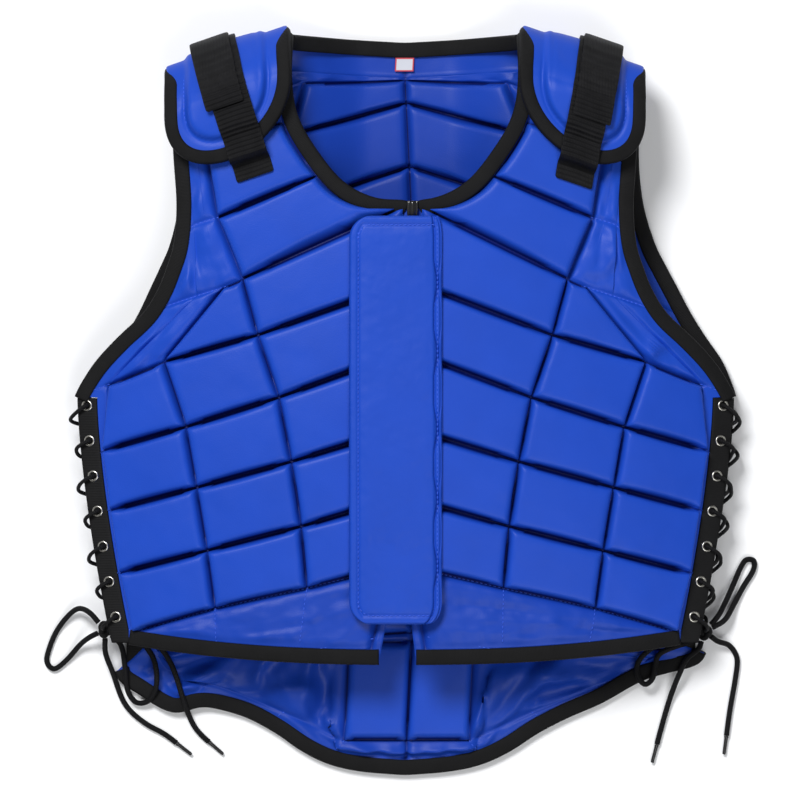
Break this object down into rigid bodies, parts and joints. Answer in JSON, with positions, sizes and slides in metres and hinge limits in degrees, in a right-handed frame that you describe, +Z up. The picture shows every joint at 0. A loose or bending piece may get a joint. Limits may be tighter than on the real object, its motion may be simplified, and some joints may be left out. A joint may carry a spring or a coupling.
{
  "type": "equestrian body protector",
  "caption": "Blue foam-block riding vest lying on its back: quilted front and back, covered front zip, black webbing shoulder straps, rounded shoulder pads and laced sides.",
  "frame": {"origin": "middle of the vest's outline on the surface it lies on, the loose laces left out", "axes": "+X to the right across the chest as the picture shows it, +Y from the tail to the shoulders, +Z up off the surface, out of the front of the vest"},
  "size_m": [0.5707, 0.6052, 0.0981],
  "materials": {
    "shell_cloth": "smooth woven nylon over foam blocks, soft sheen",
    "edge_tape": "folded woven binding, matt",
    "webbing": "ribbed woven webbing, low sheen",
    "lace_band_tape": "double folded binding with eyelets, matt",
    "lace_cord": "round braided cord",
    "eyelet_metal": "nickel-plated brass, worn satin",
    "aglet_plastic": "shrunk clear-black tube",
    "zip_tape": "woven tape with moulded teeth",
    "slider_metal": "black enamelled slider",
    "label_cloth": "woven satin label, blank"
  },
  "bodies": {
    "root": {"aglet_left_inner_tail": "aglet_plastic", "aglet_left_outer_tail": "aglet_plastic", "aglet_right_inner_tail": "aglet_plastic", "aglet_right_outer_tail": "aglet_plastic", "armhole_binding_left": "edge_tape", "armhole_binding_right": "edge_tape", "back_hem_binding": "edge_tape", "back_lace_band_left": "lace_band_tape", "back_lace_band_right": "lace_band_tape", "back_neck_binding": "edge_tape", "back_panel": "shell_cloth", "eyelet_left_1": "eyelet_metal", "eyelet_left_2": "eyelet_metal", "eyelet_left_3": "eyelet_metal", "eyelet_left_4": "eyelet_metal", "eyelet_left_5": "eyelet_metal", "eyelet_left_6": "eyelet_metal", "eyelet_left_7": "eyelet_metal", "eyelet_right_1": "eyelet_metal", "eyelet_right_2": "eyelet_metal", "eyelet_right_3": "eyelet_metal", "eyelet_right_4": "eyelet_metal", "eyelet_right_5": "eyelet_metal", "eyelet_right_6": "eyelet_metal", "eyelet_right_7": "eyelet_metal", "front_hem_binding_left": "edge_tape", "front_hem_binding_right": "edge_tape", "front_lace_band_left": "lace_band_tape", "front_lace_band_right": "lace_band_tape", "front_neck_binding_left": "edge_tape", "front_neck_binding_right": "edge_tape", "front_panel_left": "shell_cloth", "front_panel_right": "shell_cloth", "lace_knot_left": "lace_cord", "lace_knot_right": "lace_cord", "lace_left_inner_loop": "lace_cord", "lace_left_inner_tail": "lace_cord", "lace_left_outer_loop": "lace_cord", "lace_left_outer_tail": "lace_cord", "lace_right_inner_tail": "lace_cord", "lace_right_lower_loop": "lace_cord", "lace_right_outer_tail": "lace_cord", "lace_right_upper_loop": "lace_cord", "lacing_left_1": "lace_cord", "lacing_left_2": "lace_cord", "lacing_right_1": "lace_cord", "lacing_right_2": "lace_cord", "placket": "shell_cloth", "shoulder_pad_binding_left": "edge_tape", "shoulder_pad_binding_right": "edge_tape", "shoulder_pad_left": "shell_cloth", "shoulder_pad_right": "shell_cloth", "shoulder_strap_left": "webbing", "shoulder_strap_right": "webbing", "size_label": "label_cloth", "zip": "zip_tape", "zip_slider": "slider_metal"}
  },
  "joints": []
}
